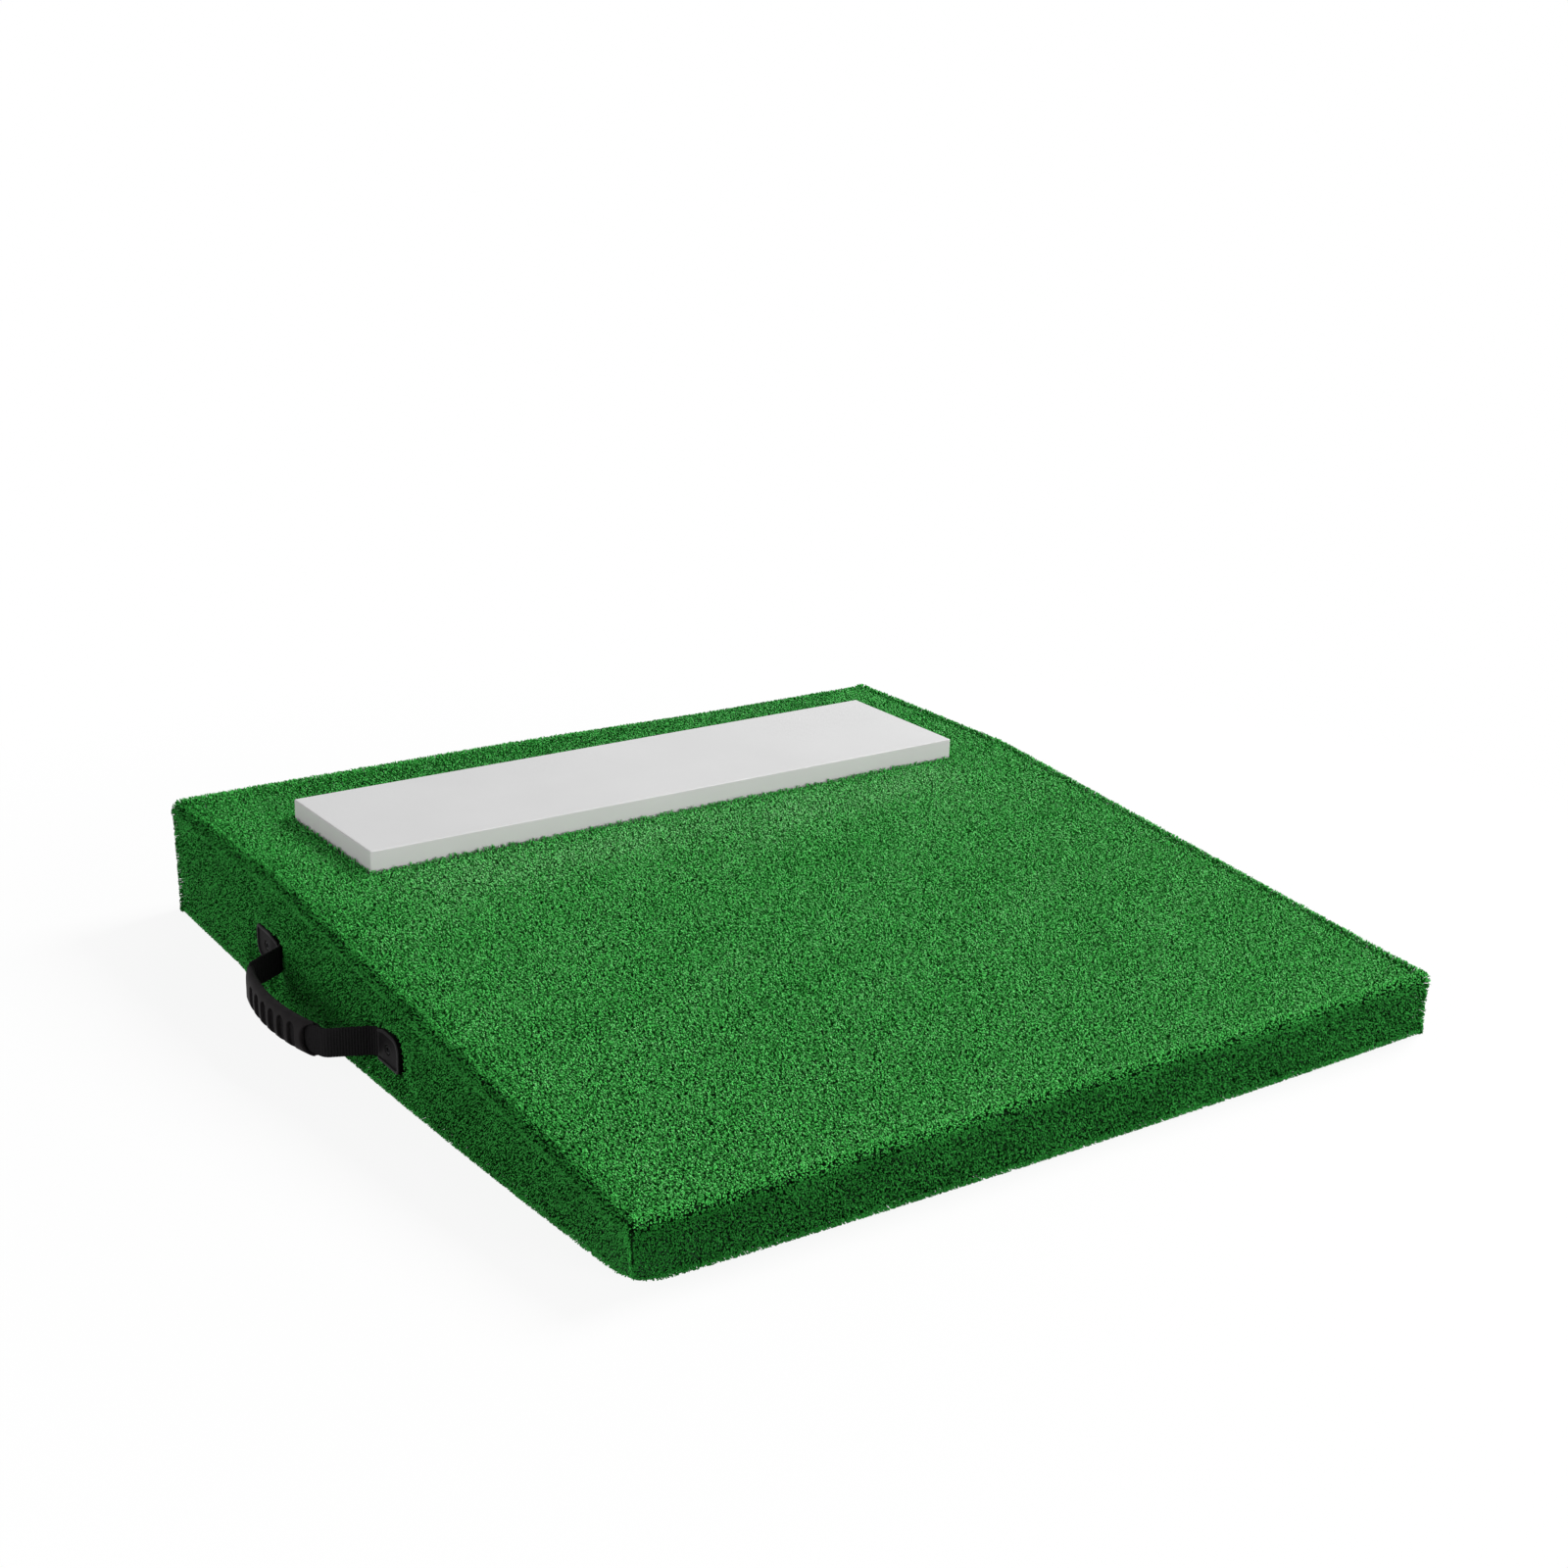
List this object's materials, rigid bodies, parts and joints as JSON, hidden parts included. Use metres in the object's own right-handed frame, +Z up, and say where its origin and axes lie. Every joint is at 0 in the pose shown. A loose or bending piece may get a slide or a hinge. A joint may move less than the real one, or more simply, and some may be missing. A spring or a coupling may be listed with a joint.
{
  "type": "portable pitching mound",
  "caption": "Low turf-covered wedge with a level rear plateau carrying a pale pitching rubber, and a webbing carrying handle with a slotted grip on one side",
  "frame": {"origin": "on the floor, under the middle of the mat's footprint, on the underside of the anti-slip sheet", "axes": "+X to the right for someone who stands on the slope and looks up it, +Y to the high rear, +Z up; the handle is on the -X side"},
  "size_m": [0.8145, 0.774, 0.118],
  "materials": {
    "turf": "short dense cut pile, matt with fine glints",
    "pale_rubber": "smooth moulded rubber, matt",
    "base_rubber": "fine ribbed anti-slip sheet",
    "cap_rubber": "moulded, satin",
    "webbing": "ribbed woven webbing, matt",
    "grip_rubber": "moulded, satin",
    "plywood": "sanded plywood",
    "zinc_steel": "zinc plated",
    "black_steel": "black oxide",
    "brass": "turned"
  },
  "bodies": {
    "mound": {"base_mat": "base_rubber", "turf_cover": "turf", "pitching_rubber": "pale_rubber", "base_board": "plywood", "side_rail_left": "plywood", "side_rail_right": "plywood", "stringer_left": "plywood", "stringer_right": "plywood", "rear_rail": "plywood", "front_rail": "plywood", "cross_rail": "plywood", "deck_plateau": "plywood", "deck_slope": "plywood", "rubber_insert_1": "brass", "rubber_insert_2": "brass", "rubber_insert_3": "brass", "rubber_insert_4": "brass", "rubber_bolt_1": "zinc_steel", "rubber_bolt_2": "zinc_steel", "rubber_bolt_3": "zinc_steel", "rubber_bolt_4": "zinc_steel", "rubber_washer_1": "zinc_steel", "rubber_washer_2": "zinc_steel", "rubber_washer_3": "zinc_steel", "rubber_washer_4": "zinc_steel", "deck_screw_left_plateau_rear": "zinc_steel", "deck_screw_left_plateau_front": "zinc_steel", "deck_screw_left_slope_rear": "zinc_steel", "deck_screw_left_slope_front": "zinc_steel", "deck_screw_left_plateau_middle": "zinc_steel", "deck_screw_left_slope_middle": "zinc_steel", "base_screw_left_rear": "zinc_steel", "frame_screw_left_rear": "zinc_steel", "base_screw_left_front": "zinc_steel", "frame_screw_left_front": "zinc_steel", "deck_screw_right_plateau_rear": "zinc_steel", "deck_screw_right_plateau_front": "zinc_steel", "deck_screw_right_slope_rear": "zinc_steel", "deck_screw_right_slope_front": "zinc_steel", "deck_screw_right_plateau_middle": "zinc_steel", "deck_screw_right_slope_middle": "zinc_steel", "base_screw_right_rear": "zinc_steel", "frame_screw_right_rear": "zinc_steel", "base_screw_right_front": "zinc_steel", "frame_screw_right_front": "zinc_steel", "handle_end_cap_front": "cap_rubber", "handle_end_cap_rear": "cap_rubber", "handle_screw_front": "black_steel", "handle_screw_rear": "black_steel", "handle_tee_nut_front": "zinc_steel", "handle_tee_nut_rear": "zinc_steel"},
    "handle": {"handle_strap": "webbing", "handle_grip": "grip_rubber"}
  },
  "joints": [
    {"name": "handle_swing", "type": "hinge", "parent": "mound", "child": "handle", "pos_m": [-0.381, 0.068, 0.0355], "axis": [0, 1, 0], "range_deg": [-25, 45], "stiffness_Nm_per_rad": 0.6, "deforming": ["handle_strap"]}
  ]
}
